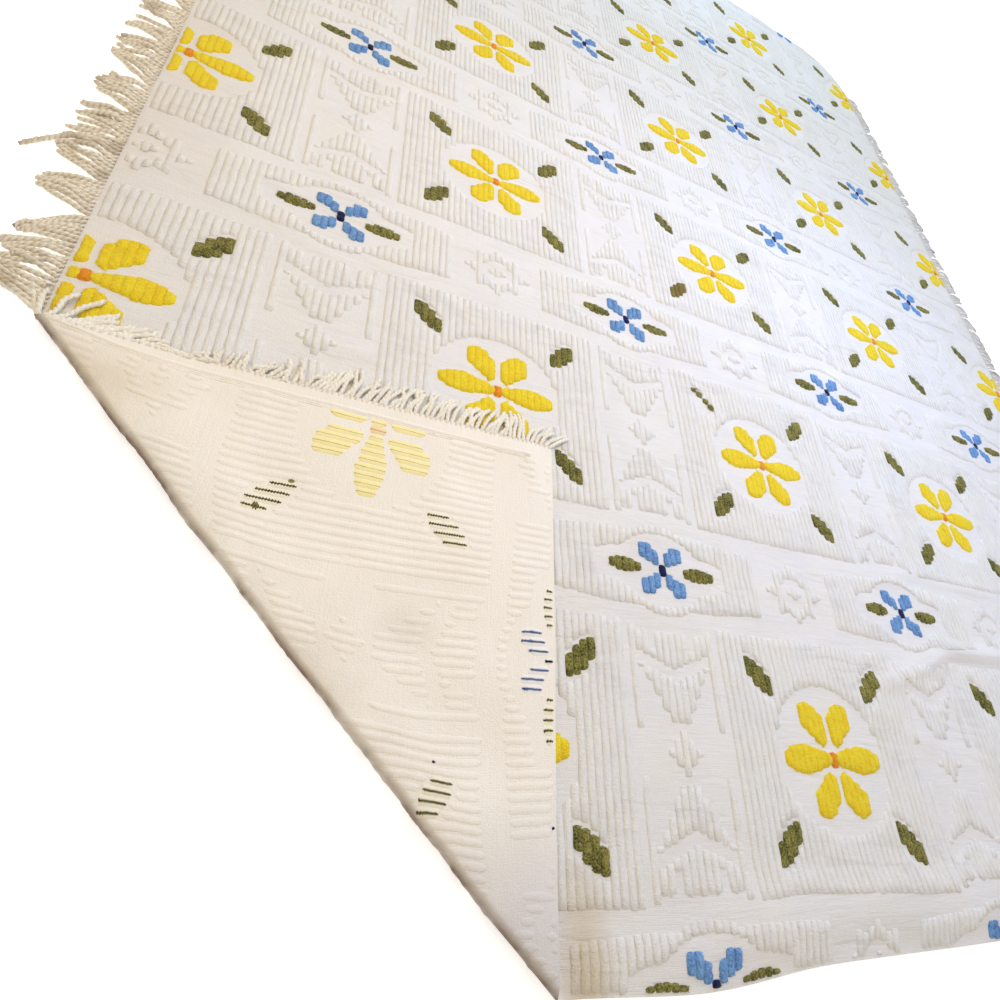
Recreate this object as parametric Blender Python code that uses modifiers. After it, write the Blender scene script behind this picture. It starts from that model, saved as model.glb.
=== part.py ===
"""Chenille bedspread laid on a flat surface, with one near corner turned back over it.

Metres, +Z up. X runs across the spread from fringe to fringe, Y from the near hem to the far hem.
The origin is at the middle of the spread, on the surface it lies on.

A point of the flat cloth is (s, t): s from the left edge, t from the near hem. The near left corner
is folded over a crease that runs at 45 degrees from the left edge to the near hem. Crease
coordinates (e, d) give a point's place along that crease and its distance past it towards the corner.
"""
import math

import bmesh
import bpy
from mathutils import Matrix, Vector

# Pattern repeat, which sets the size of the spread
REPEAT_WIDTH = 0.480
REPEAT_LENGTH = 0.458
CLOTH_WIDTH = 4.1 * REPEAT_WIDTH
CLOTH_LENGTH = 6.0 * REPEAT_LENGTH

# Cloth: ground weave and pile together
CLOTH_THICK = 0.004
CLOTH_MID = CLOTH_THICK / 2
CELLS_ACROSS = 36
CELLS_ALONG = 50
FOOT_CORNER_RADIUS = 0.22
FOOT_CORNER_CUTS = 6

# Turned-back corner
FOLD_LEG = 0.597
FOLD_RADIUS = 0.0075
FOLD_ARC = math.pi * FOLD_RADIUS
FOLD_ARC_STEPS = 6
FOLD_END = FOLD_LEG / math.sqrt(2)
BOW_DEPTH = 0.0205
EDGE_BOW_DEPTH = 0.022
EDGE_BOW_POWER = 1.3
SHORTEST_EASE = 0.060
LAYER_GAP = 0.0012
SETTLE_LENGTH = 0.090
SETTLE_STEPS = 3

# Fringe
STRIP_GAP = 0.0004
STRIP_WIDTH = 0.008
FRINGE_THICK = 0.0034
FRINGE_MID = FRINGE_THICK / 2
LOCK_LENGTH = 0.050
LOCK_PITCH = 0.0225
LOCK_ROOT_WIDTH = 0.008
LOCK_TIP_WIDTH = 0.006
LOCK_BEND_AT = 0.55
LOCKS_PER_CLUMP = 3
CLUMP_PULL = 0.0045
CLUMP_WOBBLE = 0.0015
LENGTH_WOBBLE = 0.06
LOCKS_PER_FACE = 4
REST_GAP = 0.0005
HEM_SET_BACK = 0.002
CREASE_SET_BACK = 0.004

# Soft ridges of the laid cloth, from one flat point to another
RIDGE_COLUMNS = ("s0", "t0", "s1", "t1", "height", "half_width")
RIDGES = (
    (0.76, 0.050, 1.32, 0.055, 0.0070, 0.048),
    (1.08, 0.290, 1.32, 0.372, 0.0050, 0.055),
    (1.32, 0.372, 1.66, 0.378, 0.0050, 0.045),
)
RIDGE_TAPER = 0.12
RIDGE_ROWS = (0.025, 0.050, 0.078, 0.330, 0.352, 0.374, 0.396, 0.420)

# Soft swells of the turned-back corner, round a point of the laid spread
SWELL_COLUMNS = ("x", "y", "radius", "height")
SWELLS = (
    (0.30, 0.47, 0.100, 0.0030),
    (0.46, 0.42, 0.090, 0.0035),
    (0.34, 0.33, 0.090, 0.0030),
    (0.47, 0.26, 0.085, 0.0030),
)

COTTON = {"colour": (0.86, 0.84, 0.79, 1.0), "roughness": 0.95}
YARN = {"colour": (0.78, 0.72, 0.61, 1.0), "roughness": 0.9}


def rows_of(columns, table):
    return [dict(zip(columns, row)) for row in table]


def smooth_step(x):
    x = min(max(x, 0.0), 1.0)
    return x * x * (3 - 2 * x)


def soft_bump(distance, reach):
    """1 at the middle, falling smoothly to 0 at the reach."""
    if distance >= reach:
        return 0.0
    return 0.5 + 0.5 * math.cos(math.pi * distance / reach)


def bow(e):
    """How far the crease line bows out towards the corner: nothing at the left edge, most at the hem."""
    along = min(max((e + FOLD_END) / (2 * FOLD_END), 0.0), 1.0)
    return BOW_DEPTH * math.sin(math.pi / 2 * along)


def edge_bow(e):
    """Half of how far the turned hem is drawn back towards the crease."""
    return EDGE_BOW_DEPTH * (max(e, 0.0) / FOLD_END) ** EDGE_BOW_POWER


def ease(e):
    """Stretch of the turned layer across the crease, which keeps its fringed edge straight."""
    turned_length = FOLD_END - abs(e) - FOLD_ARC - bow(e)
    return 1 + 2 * (bow(e) - edge_bow(e)) / max(turned_length, SHORTEST_EASE)


def crease_from_flat(s, t):
    e = (s - t) / math.sqrt(2)
    return e, (FOLD_LEG - s - t) / math.sqrt(2) - bow(e)


def ridge_lift(s, t):
    """Height of the soft ridges above the surface at a flat point."""
    lift = 0.0
    for ridge in rows_of(RIDGE_COLUMNS, RIDGES):
        start = Vector((ridge["s0"], ridge["t0"]))
        run = Vector((ridge["s1"], ridge["t1"])) - start
        along = min(max((Vector((s, t)) - start).dot(run) / run.length_squared, 0.0), 1.0)
        off = (Vector((s, t)) - start - along * run).length
        ends = math.sin(math.pi * (RIDGE_TAPER + (1 - 2 * RIDGE_TAPER) * along))
        lift = max(lift, ridge["height"] * ends * soft_bump(off, ridge["half_width"]))
    return lift


def swell_lift(x, y):
    """Height of the turned corner's swells at a point of the laid spread."""
    lift = 0.0
    for swell in rows_of(SWELL_COLUMNS, SWELLS):
        off = math.hypot(x - swell["x"], y - swell["y"])
        lift += swell["height"] * soft_bump(off, swell["radius"])
    return lift


def point_at_crease(e, reach):
    """Laid point at e along the straight crease line and a distance past it, towards the corner."""
    foot = FOLD_LEG / 2
    return foot + (e - reach) / math.sqrt(2), foot - (e + reach) / math.sqrt(2)


def lay_point(e, d):
    """Middle of the laid cloth for a point given in crease coordinates, from the near left corner."""
    shift = bow(e)
    if d <= 0:
        x, y = point_at_crease(e, d + shift)
        return Vector((x, y, CLOTH_MID + ridge_lift(x, y)))
    if d < FOLD_ARC:
        turn = d / FOLD_RADIUS
        x, y = point_at_crease(e, shift + FOLD_RADIUS * math.sin(turn))
        return Vector((x, y, CLOTH_MID + FOLD_RADIUS * (1 - math.cos(turn))))
    x, y = point_at_crease(e, shift - (d - FOLD_ARC) * ease(e))
    rest = CLOTH_THICK + LAYER_GAP
    settled = smooth_step((d - FOLD_ARC) / SETTLE_LENGTH)
    rise = rest + (2 * FOLD_RADIUS - rest) * (1 - settled)
    return Vector((x, y, CLOTH_MID + rise + swell_lift(x, y)))


def to_world(point):
    return point - Vector((CLOTH_WIDTH / 2, CLOTH_LENGTH / 2, 0))


def cut_line(mesh, point, normal, keep_outside=True):
    everything = mesh.verts[:] + mesh.edges[:] + mesh.faces[:]
    bmesh.ops.bisect_plane(
        mesh, geom=everything, dist=1e-6, plane_co=point, plane_no=normal, clear_outer=not keep_outside
    )


def flat_cloth():
    """Grid of the flat cloth, with extra rows where ridges cross it and its far corners rounded."""
    mesh = bmesh.new()
    half = Matrix.Diagonal((CLOTH_WIDTH / 2, CLOTH_LENGTH / 2, 1, 1))
    move = Matrix.Translation((CLOTH_WIDTH / 2, CLOTH_LENGTH / 2, 0))
    bmesh.ops.create_grid(
        mesh, x_segments=CELLS_ACROSS, y_segments=CELLS_ALONG, size=1.0, matrix=move @ half
    )
    for t in RIDGE_ROWS:
        cut_line(mesh, (0, t, 0), (0, 1, 0))
    for side in (-1, 1):
        centre_s = CLOTH_WIDTH / 2 + side * (CLOTH_WIDTH / 2 - FOOT_CORNER_RADIUS)
        centre = Vector((centre_s, CLOTH_LENGTH - FOOT_CORNER_RADIUS, 0))
        for k in range(FOOT_CORNER_CUTS):
            angle = math.radians(90) * (k + 0.5) / FOOT_CORNER_CUTS
            outward = Vector((side * math.cos(angle), math.sin(angle), 0))
            cut_line(mesh, centre + outward * FOOT_CORNER_RADIUS, outward, keep_outside=False)
    return mesh


def fold_rows():
    """Distances past the crease where the cloth needs a row of points."""
    arc = [FOLD_ARC * k / FOLD_ARC_STEPS for k in range(FOLD_ARC_STEPS + 1)]
    settle = [FOLD_ARC + SETTLE_LENGTH * (k + 1) / SETTLE_STEPS for k in range(SETTLE_STEPS)]
    return arc + settle


def make_cloth(parts):
    mesh = flat_cloth()
    for vertex in mesh.verts:
        e, d = crease_from_flat(vertex.co.x, vertex.co.y)
        vertex.co = (e, d, 0)
    for d in fold_rows():
        cut_line(mesh, (0, d, 0), (0, 1, 0))
    for vertex in mesh.verts:
        vertex.co = to_world(lay_point(vertex.co.x, vertex.co.y))
    cloth = new_object("bedspread_cloth", mesh, parts, COTTON)
    add_thickness(cloth, CLOTH_THICK)
    return cloth


def lock_lean(index):
    """How far a lock's tip leans along the edge, towards the middle of its clump."""
    place = index % LOCKS_PER_CLUMP - (LOCKS_PER_CLUMP - 1) / 2
    return CLUMP_WOBBLE * math.sin(2.4 * index) - CLUMP_PULL * place


def lock_length(index):
    return LOCK_LENGTH * (1 - LENGTH_WOBBLE * (0.5 + 0.5 * math.sin(1.7 * index)))


def flat_fringe(first, last):
    """Comb of locks on a narrow strip, flat: x is the distance out from the cloth's edge, y the place."""
    mesh = bmesh.new()
    count = int((last - first) / LOCK_PITCH)
    pitch = (last - first) / count
    inner = STRIP_GAP
    outer = STRIP_GAP + STRIP_WIDTH
    rim = []
    for index in range(count):
        middle = first + pitch * (index + 0.5)
        lean = lock_lean(index)
        reach = lock_length(index)
        pairs = []
        for share in (0.0, LOCK_BEND_AT, 1.0):
            half = (LOCK_ROOT_WIDTH + (LOCK_TIP_WIDTH - LOCK_ROOT_WIDTH) * share) / 2
            shift = middle + lean * share * share
            out = outer + reach * share
            pairs.append([mesh.verts.new((out, shift + side * half, 0)) for side in (-1, 1)])
        for near, far in zip(pairs, pairs[1:]):
            mesh.faces.new((near[0], far[0], far[1], near[1]))
        rim.append(pairs[0])
    start = [mesh.verts.new((inner, first, 0)), mesh.verts.new((outer, first, 0))]
    for group in range(0, count, LOCKS_PER_FACE):
        locks = rim[group:group + LOCKS_PER_FACE]
        end_place = first + pitch * min(group + LOCKS_PER_FACE, count)
        end = [mesh.verts.new((inner, end_place, 0)), mesh.verts.new((outer, end_place, 0))]
        edge = [vertex for lock in locks for vertex in lock]
        mesh.faces.new([start[0], start[1]] + edge + [end[1], end[0]])
        start = end
    return mesh


def make_straight_fringe(parts, name, side, first, last):
    """Fringe of an edge that lies flat: side is -1 on the left and 1 on the right."""
    mesh = flat_fringe(first, last)
    for vertex in mesh.verts:
        out = vertex.co.x
        s = -out if side < 0 else CLOTH_WIDTH + out
        vertex.co = to_world(Vector((s, vertex.co.y, FRINGE_MID)))
    fringe = new_object(name, mesh, parts, YARN)
    add_thickness(fringe, FRINGE_THICK)
    return fringe


def make_turned_fringe(parts, name, first, last):
    """Fringe of the turned corner, whose locks come down onto the cloth below."""
    mesh = flat_fringe(first, last)
    strip_out = STRIP_GAP + STRIP_WIDTH
    rest = CLOTH_THICK + REST_GAP + FRINGE_MID
    for vertex in mesh.verts:
        out = vertex.co.x
        laid = lay_point(*crease_from_flat(-out, vertex.co.y))
        root = lay_point(*crease_from_flat(-min(out, strip_out), vertex.co.y))
        down = smooth_step((out - strip_out) / (LOCK_LENGTH * LOCK_BEND_AT))
        laid.z = root.z + (rest - root.z) * down
        vertex.co = to_world(laid)
    fringe = new_object(name, mesh, parts, YARN)
    add_thickness(fringe, FRINGE_THICK)
    return fringe


def new_object(name, mesh, parts, finish):
    bmesh.ops.recalc_face_normals(mesh, faces=mesh.faces[:])
    data = bpy.data.meshes.new(name)
    mesh.to_mesh(data)
    mesh.free()
    data.shade_smooth()
    data.set_sharp_from_angle(angle=math.radians(40))
    thing = bpy.data.objects.new(name, data)
    parts.objects.link(thing)
    material = bpy.data.materials.new(name)
    material.use_nodes = True
    shader = material.node_tree.nodes["Principled BSDF"]
    shader.inputs["Base Color"].default_value = finish["colour"]
    shader.inputs["Roughness"].default_value = finish["roughness"]
    shader.inputs["Metallic"].default_value = 0.0
    data.materials.append(material)
    return thing


def add_thickness(thing, thickness):
    solid = thing.modifiers.new("thickness", "SOLIDIFY")
    solid.thickness = thickness
    solid.offset = 0
    solid.use_even_offset = True


def main():
    for thing in list(bpy.data.objects):
        bpy.data.objects.remove(thing, do_unlink=True)
    parts = bpy.data.collections.new("chenille_bedspread")
    bpy.context.scene.collection.children.link(parts)

    fringe_end = CLOTH_LENGTH - FOOT_CORNER_RADIUS
    make_cloth(parts)
    turned_end = FOLD_LEG - FOLD_ARC * math.sqrt(2) - CREASE_SET_BACK
    make_straight_fringe(parts, "fringe_right", 1, HEM_SET_BACK, fringe_end)
    make_straight_fringe(parts, "fringe_left", -1, FOLD_LEG + CREASE_SET_BACK, fringe_end)
    make_turned_fringe(parts, "fringe_turned", HEM_SET_BACK, turned_end)


main()
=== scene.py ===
import math
import random

import bmesh
import bpy
import numpy as np
from mathutils import Matrix, Vector


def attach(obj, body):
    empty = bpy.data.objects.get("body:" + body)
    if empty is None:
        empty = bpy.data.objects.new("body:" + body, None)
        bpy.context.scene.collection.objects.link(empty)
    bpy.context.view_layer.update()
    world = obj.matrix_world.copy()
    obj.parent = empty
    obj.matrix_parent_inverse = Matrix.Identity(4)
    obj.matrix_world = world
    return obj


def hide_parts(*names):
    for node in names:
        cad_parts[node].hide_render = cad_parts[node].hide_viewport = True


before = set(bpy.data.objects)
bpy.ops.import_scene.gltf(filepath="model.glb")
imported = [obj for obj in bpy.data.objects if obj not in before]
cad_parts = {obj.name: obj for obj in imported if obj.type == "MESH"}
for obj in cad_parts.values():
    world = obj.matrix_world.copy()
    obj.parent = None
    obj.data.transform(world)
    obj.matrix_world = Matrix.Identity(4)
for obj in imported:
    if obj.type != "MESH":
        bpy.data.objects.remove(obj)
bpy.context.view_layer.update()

print("frame loaded, nodes:", sorted(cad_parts))

# All lengths are in metres. A flat point of the cloth is (s, t): s from its left edge, t from its
# near hem. Height h is measured from the middle of the cloth towards the tufted side.
spread = {
    "width": 1.968,
    "length": 2.748,
    "middle": 0.002,            # height of the cloth's middle when it lies flat
    "footCorner": 0.22,         # radius of the two rounded far corners
    "cornerCuts": 12,
}

fold = {
    "leg": 0.597,               # from the corner to where the crease meets either edge
    "radius": 0.0075,
    "bowDepth": 0.0205,         # how far the crease bows out at the hem
    "edgeBowDepth": 0.022,      # half of how far the turned hem is drawn back
    "edgeBowPower": 1.3,
    "shortestEase": 0.060,
    "gather": 0.0020,           # unevenness of the crease's edge
    "gatherPitch": (0.021, 0.075),
    "gatherReach": 0.045,
    "layerRise": 0.0052,        # from the lower layer's middle to the turned layer's
    "settle": 0.090,            # length over which the turned layer comes down from the crease
    "arcSteps": 10,
    "settleSteps": 6,
}
fold["arc"] = math.pi * fold["radius"]
fold["end"] = fold["leg"] / math.sqrt(2)

# soft ridges of the laid cloth, each along its own path of flat points
ridges = [
    dict(path=[(0.76, 0.050), (1.32, 0.055)], height=0.0070, reach=0.048),
    dict(path=[(1.08, 0.290), (1.32, 0.372)], height=0.0050, reach=0.055),
    dict(path=[(1.32, 0.372), (1.66, 0.378)], height=0.0050, reach=0.045),
]
# narrower wrinkles that lie among them, a trough where the height is below zero
wrinkles = [
    dict(path=[(1.09, 0.304), (1.17, 0.323), (1.24, 0.351), (1.31, 0.378), (1.60, 0.383)],
         height=0.0064, reach=0.016),
    dict(path=[(1.11, 0.288), (1.25, 0.326), (1.33, 0.354), (1.60, 0.360)], height=-0.0028, reach=0.018),
    dict(path=[(1.20, 0.508), (1.36, 0.500), (1.66, 0.499)], height=0.0028, reach=0.015),
    dict(path=[(0.840, 0.812), (0.880, 0.764), (0.914, 0.722), (0.960, 0.674)], height=0.0034, reach=0.015),
    dict(path=[(1.04, 0.292), (1.13, 0.249), (1.24, 0.219), (1.31, 0.166)], height=0.0022, reach=0.018),
    dict(path=[(0.25, 0.642), (0.33, 0.655), (0.42, 0.658)], height=0.0030, reach=0.016),
    dict(path=[(0.20, 0.742), (0.24, 0.702), (0.31, 0.716)], height=0.0024, reach=0.015),
    dict(path=[(0.20, 0.820), (0.25, 0.805), (0.30, 0.794)], height=0.0026, reach=0.014),
    dict(path=[(0.56, 1.168), (0.63, 1.146), (0.73, 1.086)], height=0.0034, reach=0.020),
    dict(path=[(0.64, 1.306), (0.73, 1.232), (0.82, 1.126)], height=0.0030, reach=0.020),
    dict(path=[(0.00, 1.165), (0.04, 1.208), (0.13, 1.182)], height=0.0030, reach=0.020),
    dict(path=[(0.02, 0.838), (0.08, 0.872), (0.16, 0.905), (0.26, 0.896)], height=0.0026, reach=0.015),
    dict(path=[(0.08, 0.922), (0.13, 0.908), (0.17, 0.908)], height=0.0024, reach=0.012),
    dict(path=[(1.10, 0.600), (1.21, 0.585), (1.25, 0.535)], height=0.0022, reach=0.016),
    dict(path=[(0.20, 1.050), (0.27, 1.126)], height=0.0020, reach=0.020),
]
# soft swells of the turned corner and smaller dents in it: place on the laid spread, reach and height
swells = [
    (0.30, 0.47, 0.100, 0.0030),
    (0.46, 0.42, 0.090, 0.0035),
    (0.34, 0.33, 0.090, 0.0030),
    (0.47, 0.26, 0.085, 0.0030),
    (0.391, 0.311, 0.040, -0.0022),
    (0.530, 0.548, 0.050, 0.0028),
    (0.458, 0.503, 0.035, -0.0018),
    (0.170, 0.532, 0.035, -0.0016),
    (0.427, 0.235, 0.032, -0.0018),
    (0.324, 0.374, 0.028, -0.0018),
    (0.224, 0.451, 0.032, -0.0016),
]

ground = {
    "thick": 0.0012,
    "top": -0.0008,             # h of the ground weave's tufted face
    "cellAcross": 0.020,
    "cellAlong": 0.0085,
    "pucker": 0.0019,
    "puff": 0.0010,             # how far the tufted panels stand out of the plain weave
    "puffEdge": (0.020, 0.018),     # width of a panel's and of a frame's soft edge
    "band": (0.14, 0.06),       # half width and edge of the deeper puckers, as shares of the repeat
    "drift": 0.016,             # how far the puckers run askew
    "hemFlat": 0.03,            # they fade out towards the edges over this
    "sharpAngle": 55,
}
# noises of the puckers: pitch across and along the cloth, shift of each, and seed
puckerNoises = {
    "drift": (0.16, 0.30, 0, 0, 12),
    "long": (0.14, 0.020, 3, 0, 3),
    "sharp": (0.11, 0.026, 9, 0, 6),
    "short": (0.045, 0.026, 0, 7, 5),
    "broad": (0.30, 0.22, 0, 0, 8),
}

pattern = {
    "across": 0.480,            # repeat across the spread
    "along": 0.458,             # repeat along it
    "firstFlower": (0.024, 0.2015),   # flat place of a yellow flower near the left edge
    "rowPitch": 0.010,
    "sample": 0.001,
    "beside": 0.0035,           # how far off a row the slant of a colour's edge is read
    "steepest": 1.3,            # and the most that it may be
    "shortest": 0.0055,         # shorter tufts are left out
    "endGap": (0.0006, 0.0020, 0.08),   # least gap at a tuft's end, most beyond that, most as a share
    "plainEdge": 0.009,         # left bare along the long edges, the near hem, the far hem and the corners
    "plainNear": 0.001,
    "plainFar": 0.004,
    "plainCorner": 0.010,
    "hemShift": 0.0300,         # how far the rows nearest the hem are drawn in from it
    "hemReach": 0.2290,         # over what length that fades
    "turnedReach": 0.100,       # and how far past the crease it is whole again
    "turnedAcross": (0.0190, -0.032, -0.0170),  # how far it is drawn across there, and what p and q add
    "turnedAlong": (0.0008, -0.0013, -0.0128),
    "driftAt": [-0.03, 0.09, 0.20, 0.30, 0.43, 0.56, 1.00, 1.50, 2.40, 2.72],   # along the cloth
    "driftAcross": [-0.0090, -0.0095, -0.0068, -0.0050, -0.0022, 0.0, 0.0010, 0.0, 0.0, 0.0],
    "driftAlong": [0.0, 0.0002, 0.0040, 0.0066, 0.0, -0.0048, -0.0045, -0.0070, -0.0100, 0.0340],
    "hemSlip": 0.0100,          # how far the rows run off the hem to the right of its middle
    "hemSlipAcross": (0.85, 0.30),  # where that begins and over what width it grows
    "hemSlipAlong": (0.04, 0.12),
    "wander": 0.0024,           # unevenness of the rows
    "wanderPitch": (0.16, 0.21),
}

# where the near hem lies out beyond its straight line
hemWander = [dict(s=0.73, reach=0.17, depth=0.0088, into=0.2)]


def smoothStep(x):
    x = np.clip(x, 0, 1)
    return x * x * (3 - 2 * x)


def softBump(distance, reach):
    # 1 at no distance, 0 at the reach and beyond
    return np.where(distance < reach, 0.5 + 0.5 * np.cos(np.pi * np.minimum(distance / reach, 1)), 0)


def softNoise(x, y, seed):
    # values from 0 to 1 on a unit lattice, eased between its points
    table = np.random.RandomState(seed).rand(64, 64)
    left, low = np.floor(x).astype(int), np.floor(y).astype(int)
    a, b = smoothStep(x - left), smoothStep(y - low)
    corner = lambda i, j: table[(left + i) % 64, (low + j) % 64]
    lower = corner(0, 0) * (1 - a) + corner(1, 0) * a
    upper = corner(0, 1) * (1 - a) + corner(1, 1) * a
    return lower * (1 - b) + upper * b


def bow(e):
    # how far the crease bows out, from nothing at the left edge to the most at the hem
    along = np.clip((e + fold["end"]) / (2 * fold["end"]), 0, 1)
    return fold["bowDepth"] * np.sin(np.pi / 2 * along)


def ease(e):
    # stretch of the turned layer across the crease
    edgeBow = fold["edgeBowDepth"] * (np.maximum(e, 0) / fold["end"]) ** fold["edgeBowPower"]
    turnedLength = fold["end"] - np.abs(e) - fold["arc"] - bow(e)
    return 1 + 2 * (bow(e) - edgeBow) / np.maximum(turnedLength, fold["shortestEase"])


def creaseFromFlat(s, t):
    # e runs along the crease towards the hem, d away from it into the turned corner
    e = (s - t) / math.sqrt(2)
    return e, (fold["leg"] - s - t) / math.sqrt(2) - bow(e)


def flatFromCrease(e, d):
    reach = d + bow(e)
    return fold["leg"] / 2 + (e - reach) / math.sqrt(2), fold["leg"] / 2 - (e + reach) / math.sqrt(2)


def pathLift(x, y, table):
    # rise or dip of the listed ridges, highest halfway along each and fading at its ends
    high, low = np.zeros_like(x), np.zeros_like(x)
    for ridge in table:
        corners = np.array(ridge["path"])
        runs = np.hypot(*np.diff(corners, axis=0).T)
        begins = np.concatenate([[0], np.cumsum(runs)])
        nearest, share = np.full_like(x, np.inf), np.zeros_like(x)
        for (x0, y0), (x1, y1), run, begin in zip(corners, corners[1:], runs, begins):
            along = np.clip(((x - x0) * (x1 - x0) + (y - y0) * (y1 - y0)) / run ** 2, 0, 1)
            off = np.hypot(x - x0 - along * (x1 - x0), y - y0 - along * (y1 - y0))
            share = np.where(off < nearest, (begin + along * run) / begins[-1], share)
            nearest = np.minimum(nearest, off)
        crest = np.sin(np.pi * (0.12 + 0.76 * share))
        lift = ridge["height"] * crest * softBump(nearest, ridge["reach"])
        high, low = np.maximum(high, lift), np.minimum(low, lift)
    return high + low


def swellLift(x, y):
    return sum(height * softBump(np.hypot(x - atX, y - atY), reach) for atX, atY, reach, height in swells)


def fromFlowers(s, t):
    # offsets from the nearest yellow flower, and from the nearest blue one half a repeat away
    across, along = pattern["across"], pattern["along"]
    x = (s - pattern["firstFlower"][0] + across / 2) % across - across / 2
    y = (t - pattern["firstFlower"][1] + along / 2) % along - along / 2
    bx, by = across / 2 - np.abs(x), along / 2 - np.abs(y)
    return x, y, np.where(x > 0, -bx, bx), np.where(y > 0, -by, by)


def softFrame(x, y, outer, inner, edge):
    # 1 between an ellipse and the rectangle round it, with soft edges; both are given by half sizes
    inside = np.minimum(outer[0] - np.abs(x), outer[1] - np.abs(y))
    beyond = (np.hypot(x / inner[0], y / inner[1]) - 1) * (inner[0] + inner[1]) / 2
    return smoothStep(np.minimum(inside, beyond) / edge + 0.3)


def puffLift(s, t):
    # the densely tufted panels and frames stand out of the plain weave
    x, y, bx, by = fromFlowers(s, t)
    panelEdge, borderEdge = ground["puffEdge"]
    panel = softFrame(x, y, flower["panel"], flower["clearing"], panelEdge)
    border = softFrame(bx, by, posy["cartouche"], posy["eye"], borderEdge)
    return ground["puff"] * np.maximum(panel, 0.8 * border)


def puckerNoise(name, s, t):
    pitchS, pitchT, shiftS, shiftT, seed = puckerNoises[name]
    return softNoise(s / pitchS + shiftS, t / pitchT + shiftT, seed)


def puckerLift(s, t):
    # fine gathers of the ground, long across the spread and deeper in the bands between the panels
    along = (t - pattern["firstFlower"][1]) / pattern["along"]
    bandHalf, bandEdge = ground["band"]
    band = 1 - smoothStep((np.abs(along - np.floor(along) - 0.5) - bandHalf) / bandEdge)
    drift = t + ground["drift"] * puckerNoise("drift", s, t)
    long = puckerNoise("long", s, drift)
    sharp = 1 - np.abs(2 * puckerNoise("sharp", s, drift) - 1)
    short, broad = puckerNoise("short", s, t), puckerNoise("broad", s, t)
    edge = smoothStep(np.minimum(s, t) / ground["hemFlat"])
    gathers = (0.9 * long + 0.9 * sharp ** 2) * (0.25 + 0.75 * band) + 0.65 * short + 0.9 * broad
    return ground["pucker"] * gathers * edge


def clothFromPattern(p, q):
    # flat point of the cloth where a point of the regular pattern falls
    shift = pattern["hemShift"]
    near = np.clip(1 - (q + shift) / pattern["hemReach"], 0, 1) ** 1.5
    past = creaseFromFlat(p, q)[1]
    turned = smoothStep(past / pattern["turnedReach"])
    driftS = np.interp(q, pattern["driftAt"], pattern["driftAcross"])
    driftT = np.interp(q, pattern["driftAt"], pattern["driftAlong"])
    (fromP, overP), (fromQ, overQ) = pattern["hemSlipAcross"], pattern["hemSlipAlong"]
    slip = smoothStep((p - fromP) / overP) * (1 - smoothStep((q - fromQ) / overQ))
    driftT = driftT - pattern["hemSlip"] * slip
    flapS, flapT = (a + b * p + c * q for a, b, c in (pattern["turnedAcross"], pattern["turnedAlong"]))
    pitchP, pitchQ = pattern["wanderPitch"]
    wander = pattern["wander"] * (softNoise(p / pitchP, q / pitchQ, 21) - 0.5)
    s = p + flapS * turned + driftS * (1 - turned) + wander
    return s, q + shift * (near + (1 - near) * turned) + flapT * turned + driftT * (1 - turned)


def laidPoints(s, t, h):
    # world points of the laid cloth, vectorised over arrays of flat points
    s, t, h = (np.array(value) for value in np.broadcast_arrays(s * 1.0, t * 1.0, h * 1.0))
    e, d = creaseFromFlat(s, t)
    shift = bow(e)
    radius, arc = fold["radius"], fold["arc"]
    turn = np.clip(d, 0, arc) / radius
    bent = shift + (radius - h) * np.sin(turn)
    reach = np.where(d <= 0, d + shift, np.where(d < arc, bent, shift - (d - arc) * ease(e)))
    fine, coarse = fold["gatherPitch"]
    gather = softNoise(e / fine, 0 * e, 31) + 0.8 * softNoise(e / coarse, 0 * e, 32) - 0.9
    reach = reach + fold["gather"] * gather * softBump(np.abs(d - arc / 2), fold["gatherReach"])
    x = fold["leg"] / 2 + (e - reach) / math.sqrt(2)
    y = fold["leg"] / 2 - (e + reach) / math.sqrt(2)
    pucker, puff = puckerLift(s, t), puffLift(s, t)
    for wander in hemWander:
        beside = softBump(np.abs(x - wander["s"]), wander["reach"])
        y = y - wander["depth"] * beside * softBump(np.abs(t), wander["into"])
    lower = spread["middle"] + h + pathLift(x, y, ridges) + pathLift(x, y, wrinkles) + pucker + puff
    bend = spread["middle"] + radius - (radius - h) * np.cos(turn)
    drop = 2 * radius - fold["layerRise"]
    settled = smoothStep((d - arc) / fold["settle"])
    upper = spread["middle"] + fold["layerRise"] + drop * (1 - settled) - h
    upper = upper + swellLift(x, y) + (0.8 * pucker - 0.5 * puff) * settled
    z = np.where(d <= 0, lower, np.where(d < arc, bend, upper))
    return np.stack([x - spread["width"] / 2, y - spread["length"] / 2, z], axis=-1)


class Wire:
    # an output socket that can be added, multiplied and so on
    def __init__(self, maker, socket):
        self.maker = maker
        self.socket = socket

    def maths(self, operation, other, flipped=False):
        first, second = (other, self) if flipped else (self, other)
        return self.maker.node("ShaderNodeMath", {"operation": operation}, {0: first, 1: second})

    def __add__(self, other):
        return self.maths("ADD", other)

    def __radd__(self, other):
        return self.maths("ADD", other, True)

    def __sub__(self, other):
        return self.maths("SUBTRACT", other)

    def __rsub__(self, other):
        return self.maths("SUBTRACT", other, True)

    def __mul__(self, other):
        return self.maths("MULTIPLY", other)

    def __rmul__(self, other):
        return self.maths("MULTIPLY", other, True)


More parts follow.
